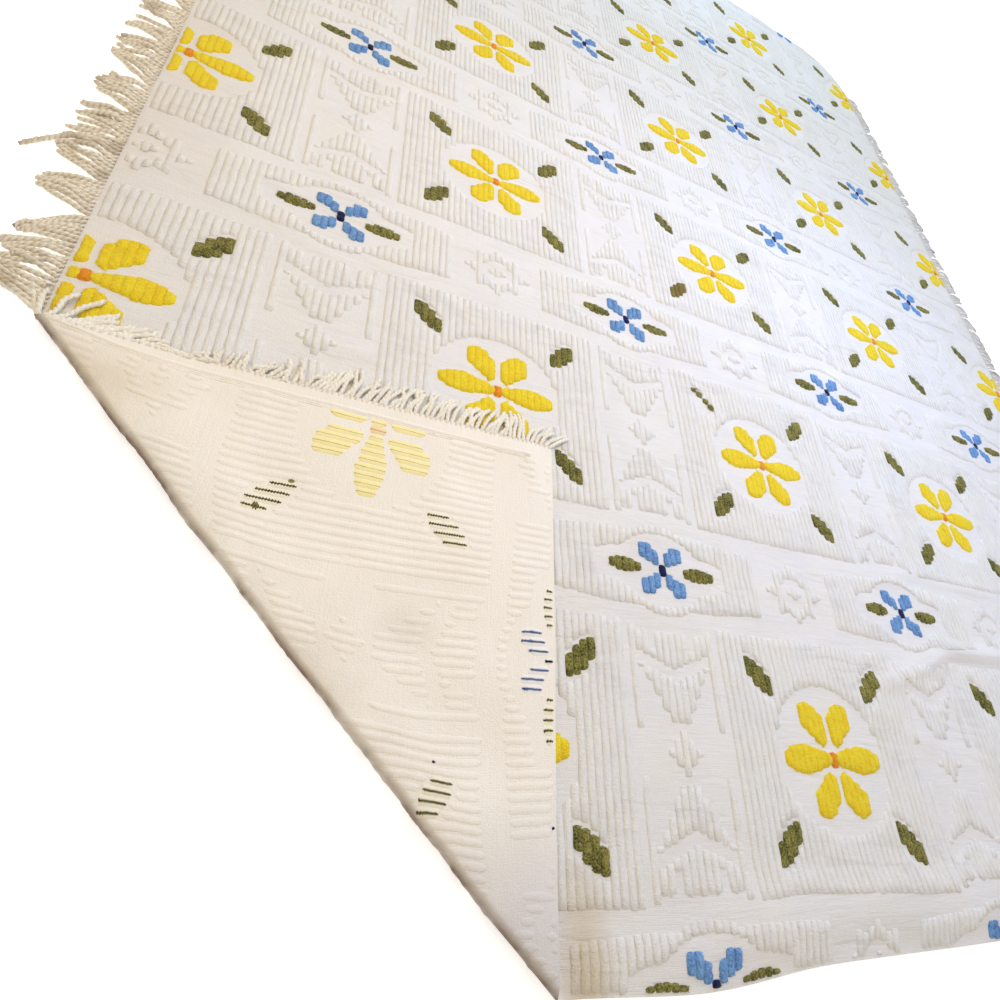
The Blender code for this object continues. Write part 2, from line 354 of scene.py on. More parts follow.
class Finish:
    # a Principled material under construction
    def __init__(self, name, roughness=0.9, sheen=0.0):
        self.material = bpy.data.materials.new(name)
        self.material.use_nodes = True
        self.tree = self.material.node_tree
        self.shader = self.tree.nodes["Principled BSDF"]
        self.shader.inputs["Roughness"].default_value = roughness
        self.shader.inputs["Sheen Weight"].default_value = sheen
        self.shader.inputs["Specular IOR Level"].default_value = 0.15
        self.place = self.node("ShaderNodeTexCoord", output="Object")

    def node(self, kind, settings=None, inputs=None, output=0):
        made = self.tree.nodes.new(kind)
        for name, value in (settings or {}).items():
            setattr(made, name, value)
        for name, value in (inputs or {}).items():
            self.feed(made.inputs[name], value)
        return Wire(self, made.outputs[output])

    def feed(self, socket, value):
        if isinstance(value, Wire):
            self.tree.links.new(value.socket, socket)
        else:
            socket.default_value = (*value, 1.0) if socket.type == "RGBA" else value

    def noise(self, place, scale, detail=2.0, rough=0.5):
        return self.node("ShaderNodeTexNoise", {},
                         {"Vector": place, "Scale": scale, "Detail": detail, "Roughness": rough})

    def threads(self, place, direction, scale, distortion, detailScale):
        return self.node("ShaderNodeTexWave", {"bands_direction": direction, "wave_profile": "SIN"},
                         {"Vector": place, "Scale": scale, "Distortion": distortion,
                          "Detail": 1.0, "Detail Scale": detailScale})

    def stretched(self, place, scale):
        return self.node("ShaderNodeVectorMath", {"operation": "MULTIPLY"}, {0: place, 1: scale})

    def ramp(self, value, low, high):
        # 0 below low, 1 above high
        return self.node("ShaderNodeMapRange", {"clamp": True},
                         {"Value": value, "From Min": low, "From Max": high})

    def mix(self, factor, first, second):
        made = self.tree.nodes.new("ShaderNodeMix")
        made.data_type = "RGBA"
        for index, value in ((0, factor), (6, first), (7, second)):
            self.feed(made.inputs[index], value)
        return Wire(self, made.outputs[2])

    def bump(self, height, strength, distance):
        return self.node("ShaderNodeBump", {},
                         {"Height": height, "Strength": strength, "Distance": distance})

    def flat(self):
        # flat place on the cloth
        return self.node("ShaderNodeUVMap", {"uv_map": "flat"})

    def along(self, vector, axis):
        return self.node("ShaderNodeSeparateXYZ", {}, {0: vector}, axis)

    def done(self, **sockets):
        for name, value in sockets.items():
            self.feed(self.shader.inputs[name.replace("_", " ")], value)
        return self.material


cottonColours = {
    "tuft": (0.928, 0.918, 0.900),
    "tuftDeep": (0.865, 0.854, 0.835),
    "ground": (0.868, 0.856, 0.854),
    "groundDeep": (0.805, 0.792, 0.792),
    "reverse": (0.950, 0.903, 0.828),
    "reverseDeep": (0.890, 0.826, 0.742),
    "stitch": (0.700, 0.610, 0.500),
    # painted shade with some brown soiling along the turned corner's crease
    "crease": (0.235, 0.160, 0.110),
    # painted shade in the fine wrinkles
    "wrinkleShade": (0.835, 0.820, 0.806),
    "stain": (0.60, 0.46, 0.25),
    # the left fringe's yarn, darker and browner than the turned fringe's partly as painted shade
    "yarn": (0.93, 0.875, 0.765),
    "yarnDeep": (0.60, 0.51, 0.385),
    # brown grime and painted shade in patches of the fringe yarns
    "yarnGrimeAndShade": (0.42, 0.31, 0.21),
}

# stains, round points of the laid spread in world metres
stains = [
    dict(place=(-0.398, -1.355), reach=(0.036, 0.105), strength=0.52),
    dict(place=(-0.960, -0.300), reach=(0.130, 0.520), strength=0.13),
    dict(place=(-0.540, -1.050), reach=(0.060, 0.040), strength=0.14),
]
# painted shade on the turned corner, cool grey towards its near tip and brownish near the crease, round
# points of the laid spread in world metres
paintedShadeSpots = [
    dict(place=(-0.455, -1.335), reach=(0.130, 0.130), strength=0.80, tint=(0.68, 0.66, 0.68)),
    dict(place=(-0.589, -1.065), reach=(0.045, 0.030), strength=0.35, tint=(0.72, 0.67, 0.60)),
    dict(place=(-0.912, -0.852), reach=(0.090, 0.050), strength=0.34, tint=(0.64, 0.52, 0.33)),
]
fadedLeaf = [dict(place=(-0.100, -0.361), reach=(0.045, 0.045), strength=0.70)]  # it has turned brown


def spotMask(finish, spots):
    # 1 in the middle of a spot, fading to 0 at its reach
    mask = 0
    for spot in spots:
        middle = finish.node("ShaderNodeVectorMath", {"operation": "SUBTRACT"},
                             {0: finish.place, 1: (*spot["place"], 0)})
        scaled = finish.stretched(middle, (1 / spot["reach"][0], 1 / spot["reach"][1], 0))
        away = finish.node("ShaderNodeVectorMath", {"operation": "LENGTH"}, {0: scaled}, "Value")
        mask = finish.ramp(away, 1.0, 0.2) * spot["strength"] + mask
    return mask


def creaseShadeAndSoil(finish, flat):
    # painted shade with some brown soiling: 1 just past the bend of the turned corner, fading in patches
    # over the first of the reverse
    flatS, flatT = finish.along(flat, 0), finish.along(flat, 1)
    along = finish.ramp((flatS - flatT) * math.sqrt(0.5), -fold["end"], fold["end"])
    bowed = finish.node("ShaderNodeMath", {"operation": "SINE"}, {0: along * (math.pi / 2)})
    past = fold["end"] - (flatS + flatT) * math.sqrt(0.5) - bowed * fold["bowDepth"]
    patches = finish.noise(finish.place, 22, 3.0, 0.6)
    near = finish.ramp(past + patches * 0.05, 0.105, 0.030)
    uneven = finish.ramp(patches, 0.38, 0.60)
    edge = finish.ramp(past + patches * 0.007, 0.0255, 0.0190) * (uneven * 0.45 + 0.45)
    return near * near * uneven * 0.20 + edge


def wrinkleLines(finish, flat):
    # 1 away from fine wrinkles that run across the rows, 0 along them, broken into short lengths
    field = finish.noise(finish.stretched(flat, (7, 34, 1)), 1.0, 2.5, 0.55)
    away = finish.node("ShaderNodeMath", {"operation": "ABSOLUTE"}, {0: field - 0.5})
    patches = finish.ramp(finish.noise(finish.stretched(flat, (9, 16, 1)), 1.0, 2.0), 0.50, 0.62)
    return 1.0 - (1.0 - finish.ramp(away, 0.0, 0.080)) * patches


def mottle(finish, shade):
    # faint cool and warm clouds over a white
    clouds = finish.ramp(finish.noise(finish.place, 14, 3.0), 0.35, 0.65)
    tinted = finish.mix(clouds, (0.985, 0.985, 1.0), (1.0, 0.990, 0.975))
    return finish.node("ShaderNodeVectorMath", {"operation": "MULTIPLY"}, {0: shade, 1: tinted})


def tuftFinish(name, main, deep, pile=1.0, spots=None, spotColour=None):
    finish = Finish(name, roughness=0.95, sheen=0.1)
    loops = finish.noise(finish.place, 430, 2.0, 0.6)
    patches = finish.noise(finish.place, 60, 2.0)
    blend = finish.ramp(loops * 0.8 + patches * 0.4, 0.46, 0.72)
    shade = finish.mix(blend, deep, main)
    height = finish.noise(finish.place, 900, 2.0, 0.7) * 0.6 + loops
    if name == "tuft_white":
        lines = wrinkleLines(finish, finish.flat())
        # painted shade along the fine wrinkles
        shade = mottle(finish, finish.mix(lines, cottonColours["wrinkleShade"], shade))
        height = height + lines * 0.35
    if spots:
        shade = finish.mix(spotMask(finish, spots), shade, spotColour)
    return finish.done(Base_Color=shade, Normal=finish.bump(height, 0.8 * pile, 0.0018))


def backFinish(name, main, deep, pitch=60):
    # stitched lines and tints of the reverse, broken up by the weave
    finish = Finish(name, roughness=0.95)
    flat = finish.flat()
    broken = finish.noise(finish.stretched(flat, (pitch * 3, pitch, 1)), 1.0, 3.0, 0.6)
    fine = finish.noise(finish.place, 500, 2.0)
    shade = finish.mix(finish.ramp(broken * 0.7 + fine * 0.5, 0.46, 0.76), deep, main)
    # painted shade with some brown soiling along the crease
    shade = finish.mix(creaseShadeAndSoil(finish, flat) * 0.7, shade, cottonColours["crease"])
    return finish.done(Base_Color=shade, Normal=finish.bump(fine, 0.6, 0.0008))


def weaveFinish(name, main, deep, stained=True):
    finish = Finish(name, roughness=0.93)
    flat = finish.flat()
    warp = finish.threads(flat, "X", 150.0, 1.6, 60.0)
    weft = finish.threads(flat, "Y", 170.0, 2.2, 50.0)
    slub = finish.noise(finish.stretched(flat, (45, 420, 1)), 1.0, 3.0, 0.6)
    streaks = finish.noise(finish.stretched(flat, (16, 110, 1)), 1.0, 3.0, 0.6)
    grain = finish.noise(finish.place, 480, 2.0, 0.6)
    patches = finish.noise(finish.place, 9, 3.0)
    patchShare, palest = (0.5, 0.82) if stained else (0.9, 1.05)
    blend = finish.ramp(slub * 0.4 + grain * 0.4 + patches * patchShare, 0.44, palest)
    shade = finish.mix(blend, deep, main)
    if stained:
        lines = wrinkleLines(finish, flat)
        # painted shade along the fine wrinkles
        shade = mottle(finish, finish.mix(lines, cottonColours["wrinkleShade"], shade))
        shade = finish.mix(spotMask(finish, stains), shade, cottonColours["stain"])
        height = warp * 0.10 + weft * 0.12 + slub * 0.7 + streaks * 1.5 + grain * 0.8 + lines * 0.8
    else:
        # painted shade spots on the turned corner
        for shadeSpot in paintedShadeSpots:
            shade = finish.mix(spotMask(finish, [shadeSpot]), shade, shadeSpot["tint"])
        # painted shade with some brown soiling along the crease
        shade = finish.mix(creaseShadeAndSoil(finish, flat) * 0.95, shade, cottonColours["crease"])
        height = warp * 0.05 + weft * 0.06 + slub * 0.5 + streaks * 0.5 + grain * 0.7
    return finish.done(Base_Color=shade, Normal=finish.bump(height, 0.7, 0.0011))


def yarnFinish(name, main, deep, grimeAndShadeShare):
    finish = Finish(name, roughness=0.92, sheen=0.1)
    ply = finish.along(finish.flat(), 0)
    fibres = finish.noise(finish.place, 700, 3.0, 0.6)
    patches = finish.noise(finish.place, 26, 3.0, 0.6)
    # darker towards the groove between the plies, as painted shade, and in random fibres and patches
    shade = finish.mix(finish.ramp(fibres * 0.5 + patches * 0.4 + ply * 0.3, 0.36, 0.78), deep, main)
    # brown grime and painted shade in patches
    shade = finish.mix(finish.ramp(patches, 0.54, 0.66) * grimeAndShadeShare, shade, cottonColours["yarnGrimeAndShade"])
    normal = finish.bump(finish.noise(finish.place, 1500, 2.0), 0.5, 0.0008)
    return finish.done(Base_Color=shade, Normal=normal)


# main and deep shade of each colour's tufts, how rough their pile is, and any spots with their shade
tuftShades = {
    "white": (cottonColours["tuft"], cottonColours["tuftDeep"], 1.1, stains, cottonColours["stain"]),
    "yellow": ((0.998, 0.828, 0.045), (0.965, 0.670, 0.016), 1.4),
    "orange": ((0.930, 0.400, 0.030), (0.860, 0.240, 0.012), 1.2),
    "blue": ((0.270, 0.510, 0.880), (0.110, 0.270, 0.630), 1.6),
    "navy": ((0.012, 0.020, 0.110), (0.006, 0.010, 0.050), 1.2),
    "green": ((0.380, 0.345, 0.090), (0.060, 0.064, 0.013), 1.6, fadedLeaf, (0.26, 0.17, 0.05)),
}
# the same for the stitched lines and for the tints of the reverse, with the pitch of their unevenness
stitchShades = {
    "white": (cottonColours["reverse"], cottonColours["stitch"], 30),
    "yellow": ((0.70, 0.56, 0.22), (0.50, 0.38, 0.12)),
    "orange": ((0.66, 0.30, 0.09), (0.45, 0.18, 0.04)),
    "blue": ((0.14, 0.20, 0.38), (0.04, 0.07, 0.18), 200),
    "navy": ((0.020, 0.022, 0.050), (0.008, 0.009, 0.024), 200),
    "green": ((0.190, 0.170, 0.055), (0.045, 0.043, 0.012), 200),
}
tintShades = {
    "yellow": ((0.955, 0.875, 0.490), (0.945, 0.835, 0.400)),
    "orange": ((0.930, 0.730, 0.440), (0.900, 0.680, 0.380)),
    "blue": ((0.925, 0.900, 0.870), (0.880, 0.860, 0.850)),
    "green": ((0.930, 0.885, 0.755), (0.885, 0.835, 0.680)),
}
tuftFinishes = {kind: tuftFinish("tuft_" + kind, *shades) for kind, shades in tuftShades.items()}
stitchFinishes = {kind: backFinish("stitch_" + kind, *shades) for kind, shades in stitchShades.items()}
tintFinishes = {kind: backFinish("tint_" + kind, *shades) for kind, shades in tintShades.items()}
groundFinish = weaveFinish("ground_weave", cottonColours["ground"], cottonColours["groundDeep"])
reverseFinish = weaveFinish("reverse_weave", cottonColours["reverse"], cottonColours["reverseDeep"], False)
# the left fringe's yarn is partly painted shade: darker and browner than the same yarn turned over
yarnLeftShaded = yarnFinish("fringe_yarn_left_shaded", cottonColours["yarn"], cottonColours["yarnDeep"], 0.55)
yarnPale = yarnFinish("fringe_yarn_pale", (0.97, 0.940, 0.865), (0.88, 0.83, 0.72), 0.10)
yarnRight = yarnFinish("fringe_yarn_right", (0.93, 0.91, 0.89), (0.66, 0.63, 0.61), 0.30)
print("materials made")


def linked(name, data, finishes=()):
    made = bpy.data.objects.new(name, data)
    bpy.context.scene.collection.objects.link(made)
    for finish in finishes:
        data.materials.append(finish)
    return made


def fromMesh(name, mesh, finishes):
    data = bpy.data.meshes.new(name)
    mesh.to_mesh(data)
    mesh.free()
    return linked(name, data, finishes)


def newPiece(name, points, faces, finish, uvs):
    # a face whose last two points are the same is a triangle
    data = bpy.data.meshes.new(name)
    corners = [face[:3] if face[2] == face[3] else face for face in faces.tolist()]
    data.from_pydata(points.tolist(), [], corners)
    data.shade_smooth()
    layer = data.uv_layers.new(name="flat")
    corners = np.empty(len(data.loops), dtype=np.int32)
    data.loops.foreach_get("vertex_index", corners)
    layer.data.foreach_set("uv", uvs[corners].astype(np.float32).ravel())
    piece = linked(name, data, [finish])
    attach(piece, "root")
    return piece


def gridFaces(rings, perRing):
    # quads that join rings of points, a ring being an open row
    ring, spot = np.meshgrid(np.arange(rings - 1), np.arange(perRing - 1), indexing="ij")
    base = (ring * perRing + spot).ravel()
    return np.stack([base, base + 1, base + perRing + 1, base + perRing], axis=1)


# the tufted pattern, in offsets from a yellow flower or from the blue one beside it
flower = {
    "panel": (0.163, 0.154),        # half sizes of the ribbed panel round a yellow flower
    "clearing": (0.096, 0.087),
    "sidePetal": dict(root=(0.004, 0.0), tip=(0.087, 0.0), wide=0.0198, rootShare=0.44),
    "slantPetal": dict(root=(0.0075, 0.0150), tip=(0.0400, 0.0690), wide=0.0200, rootShare=0.40),
    "heart": (0.006, 0.0115),
    "leaf": dict(at=(0.1060, 0.0970), long=0.0325, wide=0.0145, angle=50),
}
posy = {
    "petal": dict(root=(0.0045, 0.0065), tip=(0.0352, 0.0365), wide=0.0150, rootShare=0.36),
    "heart": (0.006, 0.0110),
    "leaf": dict(at=(0.0600, 0.0), long=0.0265, wide=0.0130),
    "eye": (0.070, 0.052),
    "leafEye": dict(at=(0.0680, 0.0), long=0.042, wide=0.0240),
    "cartouche": (0.165, 0.058),    # half sizes of the frame round a blue flower and its leaves
    "taper": (0.075, 0.10),         # where it begins to narrow, and how fast
    "crown": (0.075, 0.069),        # half sizes of the arch that rises over each blue flower
}
# white motifs of the plain weave: rosettes between the yellow flowers, and tulips, lozenges and
# slim bars in the columns between the panels
rosette = {"radius": 0.046, "wave": 0.007, "petals": 8, "inner": 0.023, "button": 0.0125, "squash": 1.05}
tulip = {
    "foot": 0.030,
    "top": 0.142,
    "halfWidth": (0.012, 0.052),    # at its foot, and the most that it flares to
    "flare": 0.62,
    "notch": dict(above=0.118, at=0.030, halfWidth=0.007),
    "slit": dict(low=0.080, high=0.090, slope=0.4),
}
lozenge = 0.026
bar = {"across": (0.0575, 0.0685), "along": (0.022, 0.150)}
kinds = ["none", "white", "yellow", "orange", "blue", "navy", "green"]


def ellipse(x, y, long, wide, at=(0.0, 0.0), angle=0):
    # inside an ellipse of these half sizes, the long one turned by an angle in degrees from the x axis
    cosine, sine = math.cos(math.radians(angle)), math.sin(math.radians(angle))
    u = (x - at[0]) * cosine + (y - at[1]) * sine
    v = (y - at[1]) * cosine - (x - at[0]) * sine
    return (u / long) ** 2 + (v / wide) ** 2 < 1


def petal(x, y, root, tip, wide, rootShare):
    # inside a petal, narrower at its root and blunt at its tip
    runX, runY = tip[0] - root[0], tip[1] - root[1]
    size = math.hypot(runX, runY)
    along = ((x - root[0]) * runX + (y - root[1]) * runY) / size ** 2
    off = np.abs((x - root[0]) * runY - (y - root[1]) * runX) / size
    blunt = np.sqrt(np.clip(1 - ((along - 0.6) / 0.4) ** 2, 0, 1))
    return (along > 0) & (off < wide * np.where(along > 0.6, blunt, np.minimum(rootShare + 1.1 * along, 1)))


def whiteTufts(x, y, bx, by):
    # x, y from the nearest yellow flower, bx, by from the nearest blue one
    ax, ay, cx, cy = np.abs(x), np.abs(y), np.abs(bx), np.abs(by)
    panel = (ax < flower["panel"][0]) & (ay < flower["panel"][1])
    panel &= ~ellipse(x, y, *flower["clearing"])
    # the band: framed eyes round the blue flowers
    taperFrom, taper = posy["taper"]
    border = cy < posy["cartouche"][1] - taper * np.maximum(cx - taperFrom, 0)
    border &= cx < posy["cartouche"][0]
    border |= ellipse(cx, cy, *posy["crown"])
    border &= ~ellipse(bx, by, *posy["eye"]) & ~ellipse(cx, cy, **posy["leafEye"])
    rx, ry = x, pattern["along"] / 2 - ay
    away = np.hypot(rx, ry * rosette["squash"])
    petals = rosette["radius"] + rosette["wave"] * np.cos(rosette["petals"] * np.arctan2(ry, rx))
    rosettes = (away < petals) & (away > rosette["inner"]) | (away < rosette["button"])
    gx, gy = cx, pattern["along"] / 2 - cy
    stem, widest = tulip["halfWidth"]
    tulips = (gy > tulip["foot"]) & (gy < tulip["top"]) & (gx < widest)
    tulips &= gx < stem + tulip["flare"] * (gy - tulip["foot"])
    notch, slit = tulip["notch"], tulip["slit"]
    tulips &= ~((gy > notch["above"]) & (np.abs(gx - notch["at"]) < notch["halfWidth"]))
    rise = slit["slope"] * gx
    tulips &= ~((gy > slit["low"] + rise) & (gy < slit["high"] + rise))
    lozenges = gx / lozenge + gy / lozenge < 1
    (barLeft, barRight), (barLow, barHigh) = bar["across"], bar["along"]
    bars = (gx > barLeft) & (gx < barRight) & (gy > barLow) & (gy < barHigh)
    return panel | border | rosettes | tulips | lozenges | bars


def tuftKinds(s, t):
    x, y, bx, by = fromFlowers(s, t)
    ax, ay, cx, cy = np.abs(x), np.abs(y), np.abs(bx), np.abs(by)
    made = np.where(whiteTufts(x, y, bx, by), 1, 0)
    yellow = petal(ax, ay, **flower["sidePetal"]) | petal(ax, ay, **flower["slantPetal"]) & (ax > 0.005)
    green = ellipse(ax, ay, **flower["leaf"]) | ellipse(cx, cy, **posy["leaf"])
    blue = petal(cx, cy, **posy["petal"]) & (cx > 0.005)
    made[yellow] = 2
    made[(ax < flower["heart"][0]) & (ay < flower["heart"][1])] = 3
    made[blue] = 4
    made[(cx < posy["heart"][0]) & (cy < posy["heart"][1])] = 5
    made[green] = 6
    return made


# a leaf drawn thin where the cloth is pinched
pinchedLeaf = dict(s0=0.862, t0=0.777, s1=0.9005, t1=0.737, halfWidth=0.0052, reach=0.045)


def makeKinds(rows, samples):
    # what is tufted at each sample of each row, once the cloth's shape is known
    made = tuftKinds(rows[:, None], samples[None, :])
    s, t = clothFromPattern(rows[:, None], samples[None, :])
    radius, corner = spread["footCorner"], np.minimum(s, spread["width"] - s)
    beyond = np.hypot(np.maximum(radius - corner, 0), np.maximum(t - spread["length"] + radius, 0))
    made[(t < pattern["plainNear"]) | (beyond > radius - pattern["plainCorner"])] = 0
    pinch = pinchedLeaf
    runS, runT = pinch["s1"] - pinch["s0"], pinch["t1"] - pinch["t0"]
    off = np.abs((s - pinch["s0"]) * runT - (t - pinch["t0"]) * runS) / math.hypot(runS, runT)
    away = np.hypot(s - (pinch["s0"] + pinch["s1"]) / 2, t - (pinch["t0"] + pinch["t1"]) / 2)
    made[(away < pinch["reach"]) & (made == 6) & (off > pinch["halfWidth"])] = 0
    return made


def runBeside(line, start, end, kind):
    # where the run of the same kind that overlaps start to end begins and ends in a line beside it
    same = line == kind
    shared = np.flatnonzero(same[start:end])
    if not len(shared):
        return None
    others = np.flatnonzero(~same)
    before, after = others[others < start + shared[0]], others[others > start + shared[-1]]
    return (before[-1] + 1 if len(before) else 0), (after[0] if len(after) else len(line))


def tuftRuns():
    # every run of one colour along every row: (kind, row's s, start, end, slant of start, slant of end)
    beside, steepest, (gap, more, share) = pattern["beside"], pattern["steepest"], pattern["endGap"]
    rows = np.arange(pattern["firstFlower"][0] % pattern["rowPitch"], spread["width"], pattern["rowPitch"])
    rows = rows[(rows > pattern["plainEdge"]) & (rows < spread["width"] - pattern["plainEdge"])]
    samples = np.arange(-pattern["hemShift"], spread["length"] - pattern["plainFar"], pattern["sample"])
    made, left, right = (makeKinds(rows + shift, samples) for shift in (0, -beside, beside))
    random.seed(3)
    runs = []
    for row, line, leftLine, rightLine in zip(rows, made, left, right):
        bounds = [0, *(np.flatnonzero(np.diff(line)) + 1), len(line)]
        for start, end in zip(bounds, bounds[1:]):
            size = (end - start) * pattern["sample"]
            if not line[start] or size < pattern["shortest"]:
                continue
            sides = [runBeside(side, start, end, line[start]) or (start, end)
                     for side in (leftLine, rightLine)]
            slants = [(sides[1][k] - sides[0][k]) * pattern["sample"] / (2 * beside) for k in (0, 1)]
            slants = np.clip(slants, -steepest, steepest)
            begins, ends = (gap + random.uniform(0, min(more, share * size)) for _ in (0, 1))
            begins, ends = samples[start] + begins, samples[end - 1] - ends
            runs.append((kinds[line[start]], row, begins, ends, *slants))
    return runs


# A strip's profile is a row of points across it, (share of its half width, share of its height). Its
# ends list (distance from the end, share of width, share of height). A segment is the length
# between rings, fuzz the number of fibres to a metre, and slant how much of its ends' slant it takes.
archProfile = [(-1.0, 0.0), (-0.86, 0.55), (-0.5, 0.87), (0.0, 1.0), (0.5, 0.87), (0.86, 0.55), (1.0, 0.0)]
lowProfile = [(-1.0, 0.0), (-0.74, 0.64), (0.0, 1.0), (0.74, 0.64), (1.0, 0.0)]
fullProfile = [(-1.0, 0.0), (-0.86, 0.66), (0.0, 1.0), (0.86, 0.66), (1.0, 0.0)]
whiteTuft = dict(halfWidth=0.0050, height=0.0018, segment=0.0105, wobble=1.3, fuzz=110, slant=0.35,
                 profile=fullProfile, ends=[(0.0, 0.70, 0.0), (0.0014, 0.96, 0.94)])
yellowTuft = dict(halfWidth=0.0061, height=0.0032, segment=0.0042, wobble=1.3, fuzz=2700, slant=0.5,
                  profile=archProfile, ends=[(0.0, 0.50, 0.0), (0.0016, 0.84, 0.60), (0.0044, 0.98, 0.94)])
smallTuft = dict(yellowTuft, halfWidth=0.0054, height=0.0030, slant=0.25, wobble=1.5)
stitchLine = dict(halfWidth=0.0009, height=0.0005, segment=0.0050, wobble=1.6, fuzz=0, slant=0.0,
                  profile=[(-1.0, 0.0), (0.0, 1.0), (1.0, 0.0)], ends=[(0.0, 0.5, 0.2), (0.0015, 1.0, 1.0)])
stitchBeads = dict(stitchLine, halfWidth=0.0017, height=0.0011, segment=0.0015, wobble=0.6, beads=0.42)
backBand = dict(halfWidth=0.0043, height=0.0006, segment=0.0080, wobble=1.0, fuzz=0, slant=0.0,
                profile=lowProfile, ends=[(0.0, 0.6, 0.0), (0.0050, 1.0, 1.0)])
tintBand = dict(halfWidth=0.0052, height=0.0006, segment=0.0060, wobble=0.5, fuzz=0, slant=0.6,
                profile=lowProfile, ends=[(0.0, 0.6, 0.1), (0.0020, 1.0, 1.0)])
selvedgeRoll = dict(backBand, halfWidth=0.0030, height=0.0007, segment=0.0120, wobble=0.5)
selvedgeLine = dict(stitchLine, halfWidth=0.0007, height=0.0003, segment=0.0140)
fibre = {"reach": (0.0010, 0.0028), "lean": 0.0020, "thick": 0.00033, "inset": 0.0005}
# unevenness of a strip: shares of its width, height and surface, how far its rings slip sideways,
# and how far its edges sink below what it stands on
uneven = {"width": 0.06, "height": 0.13, "grain": 0.07, "slip": 0.0003, "sink": 0.0003}


def stripRows(start, end, kind):
    # places along a strip with its width and height shares, rounded at both ends
    ends = kind["ends"]
    scale = min(1.0, (end - start) / (2.6 * ends[-1][0]))
    out = [distance * scale for distance, _, _ in ends]
    inner = max(1, round((end - start - 2 * out[-1]) / kind["segment"]))
    middle = np.linspace(start + out[-1], end - out[-1], inner + 1)
    t = np.concatenate([[start + d for d in out[:-1]], middle, [end - d for d in reversed(out[:-1])]])
    width, height = np.ones(len(t)), np.ones(len(t))
    for k, (_, wide, high) in enumerate(ends):
        width[[k, -1 - k]] = wide
        height[[k, -1 - k]] = high
    return t, width, height


def stripPoints(start, end, kind):
    # rings of (across, along, height) points of one arched strip
    across, rise = np.array(kind["profile"]).T
    t, wide, high = stripRows(start, end, kind)
    lump = np.random.uniform(-1, 1, (2, len(t))) * kind["wobble"]
    wide = wide * (1 + kind.get("beads", 0) * np.cos(np.pi * np.arange(len(t))))
    grain = np.random.uniform(-1, 1, (len(t), len(across))) * uneven["grain"] * kind["wobble"]
    width = kind["halfWidth"] * wide * (1 + uneven["width"] * lump[0])
    height = kind["height"] * high * (1 + uneven["height"] * lump[1])
    slip = np.random.uniform(-uneven["slip"], uneven["slip"], (len(t), 1))
    ringS = slip + width[:, None] * across * (1 + grain)
    ringT = np.repeat(t[:, None], len(across), axis=1)
    ringH = height[:, None] * rise * (1 + grain) - uneven["sink"] * (rise == 0)
    return np.stack([ringS.ravel(), ringT.ravel(), ringH.ravel()], axis=1), gridFaces(len(t), len(across))


def fibrePoints(start, end, kind):
    # short fibres that stand out of a strip, three points each
    count = int((end - start) * kind["fuzz"])
    angle = np.pi * np.random.beta(0.65, 0.65, count)
    t = np.random.uniform(start + fibre["inset"], end - fibre["inset"], count)
    reach = np.random.uniform(*fibre["reach"], count)
    lean = np.random.uniform(-fibre["lean"], fibre["lean"], count)
    rootS, rootH = kind["halfWidth"] * 0.88 * np.cos(angle), kind["height"] * 0.85 * np.sin(angle)
    tipS, tipH = rootS + reach * np.cos(angle), rootH + reach * 0.7 * np.sin(angle)
    thick = fibre["thick"]
    points = [(rootS, t - thick, rootH), (rootS, t + thick, rootH), (tipS, t + lean, tipH)]
    points = np.stack([np.stack(point) for point in points]).transpose(2, 0, 1).reshape(-1, 3)
    index = np.arange(len(points)).reshape(-1, 3)
    return points, index[:, [0, 1, 2, 2]]


def stripMesh(name, finish, runs, kind, foot, upward):
    # arched strips along the runs; foot is the h they stand on, upward the way they rise
    np.random.seed(len(name) * 7 + len(runs) % 1000)
    places, faces, count = [], [], 0
    for _, s, start, end, slantStart, slantEnd in runs:
        parts = [stripPoints(start, end, kind)]
        if kind["fuzz"]:
            parts.append(fibrePoints(start, end, kind))
        for points, corners in parts:
            share = (points[:, 1] - start) / (end - start)
            lean = (slantStart * (1 - share) + slantEnd * share) * kind["slant"]
            places.append(np.stack([s + points[:, 0], points[:, 1] + lean * points[:, 0],
                                    foot + upward * points[:, 2]], axis=1))
            faces.append(corners + count)
            count += len(points)
    places, faces = np.concatenate(places), np.concatenate(faces)
    s, t = clothFromPattern(places[:, 0], places[:, 1])
    if upward < 0:
        faces = faces[:, [1, 0, 3, 2]]
    return newPiece(name, laidPoints(s, t, places[:, 2]), faces, finish, np.stack([s, t], axis=1))


# knots of thread and specks on the turned corner's reverse, at points of the pattern
knots = [
    dict(kind="green", p=0.1085, q=0.2792, length=0.0060, wide=1.4),
    dict(kind="green", p=0.1434, q=0.3062, length=0.0072, wide=2.4),
    dict(kind="navy", p=0.3658, q=0.1012, length=0.0044, wide=0.9),
    dict(kind="navy", p=0.4210, q=-0.0270, length=0.0030, wide=0.8),
]


reverseSide = {
    "shortest": 0.005,          # shorter stitched lines are left out
    "whiteLift": 0.00005,       # how far the white lines stand on the reverse, and the coloured ones
    "lift": 0.0004,
    "knotLift": 0.0006,
    "knotBeads": 0.2,
    "selvedge": 0.0030,         # places of the selvedge and of its lines, from the edge
    "selvedgeLines": (0.0074, 0.0102),
    "selvedgeStart": 0.001,
}


def turnedRuns(runs):
    # the stretches of the runs that lie beyond the crease
    turned = []
    for kind, s, start, end, slantStart, slantEnd in runs:
        last = min(end, fold["leg"] - s)
        if last - start > reverseSide["shortest"]:
            turned.append((kind, s, start, last, slantStart, slantEnd if last == end else 0.0))
    return turned


